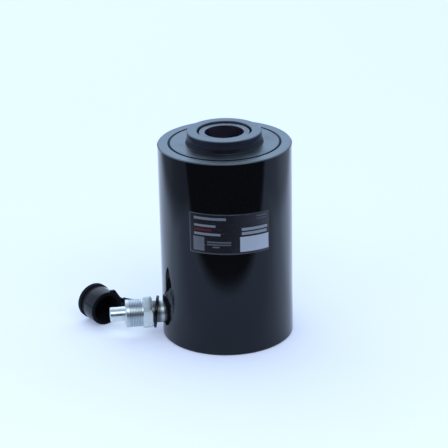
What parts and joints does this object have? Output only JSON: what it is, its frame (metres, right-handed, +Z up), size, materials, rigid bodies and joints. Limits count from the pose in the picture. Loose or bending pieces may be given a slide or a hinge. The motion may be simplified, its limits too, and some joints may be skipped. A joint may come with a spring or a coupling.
{
  "type": "hollow plunger hydraulic cylinder",
  "caption": "Black single-acting hollow plunger hydraulic cylinder with spring return, a through center hole, a side quick coupler and a tethered rubber dust cap.",
  "frame": {"origin": "center of the base underside on the plunger axis, where the center hole meets the floor plane", "axes": "+Z up along the plunger axis in the direction of extension; the port and coupler point along -X; +Y completes the right-handed frame"},
  "size_m": [0.1863, 0.114, 0.1835],
  "materials": {
    "black_paint": "high gloss black enamel",
    "black_steel": "black finished turned steel",
    "dark_chrome": "ground and hard plated",
    "tube_steel": "honed steel tube",
    "zinc_steel": "bright zinc plate",
    "ball_steel": "polished bearing steel",
    "spring_steel": "oiled spring wire",
    "bronze": "turned bronze",
    "seal_rubber": "matt nitrile rubber",
    "cap_rubber": "satin moulded rubber",
    "polyurethane": "satin polyurethane",
    "ptfe": "matt",
    "wear_phenolic": "matt fabric-filled resin"
  },
  "bodies": {
    "barrel": {"cylinder_body": "black_paint", "center_tube": "tube_steel", "center_tube_o_ring": "seal_rubber", "center_tube_backup_ring": "ptfe", "gland_nut": "black_steel", "gland_bearing": "bronze", "rod_wiper": "seal_rubber", "return_spring": "spring_steel", "port_nipple": "zinc_steel", "coupler_body": "zinc_steel", "spring_retainer": "zinc_steel", "check_spring": "spring_steel"},
    "plunger": {"plunger": "dark_chrome", "piston_seal": "polyurethane", "piston_backup_ring": "ptfe", "piston_wear_ring": "wear_phenolic", "plunger_inner_seal": "polyurethane", "plunger_inner_wear_ring": "wear_phenolic", "saddle": "black_steel"},
    "valve_ball": {"check_ball": "ball_steel"},
    "cap": {"dust_cap": "cap_rubber", "dust_cap_strap": "cap_rubber"}
  },
  "joints": [
    {"name": "plunger_stroke", "type": "slide", "parent": "barrel", "child": "plunger", "axis": [0, 0, 1], "range_m": [0, 0.064], "stiffness_N_per_m": 3000, "springref_m": -0.03, "deforming": ["return_spring"]},
    {"name": "check_ball_travel", "type": "slide", "parent": "barrel", "child": "valve_ball", "axis": [1, 0, 0], "range_m": [0, 0.0025], "stiffness_N_per_m": 600, "springref_m": -0.002, "deforming": ["check_spring"]},
    {"name": "dust_cap_swing", "type": "hinge", "parent": "barrel", "child": "cap", "pos_m": [-0.0625, 0, 0.02], "axis": [1, 0, 0], "range_deg": [0, 190]}
  ]
}
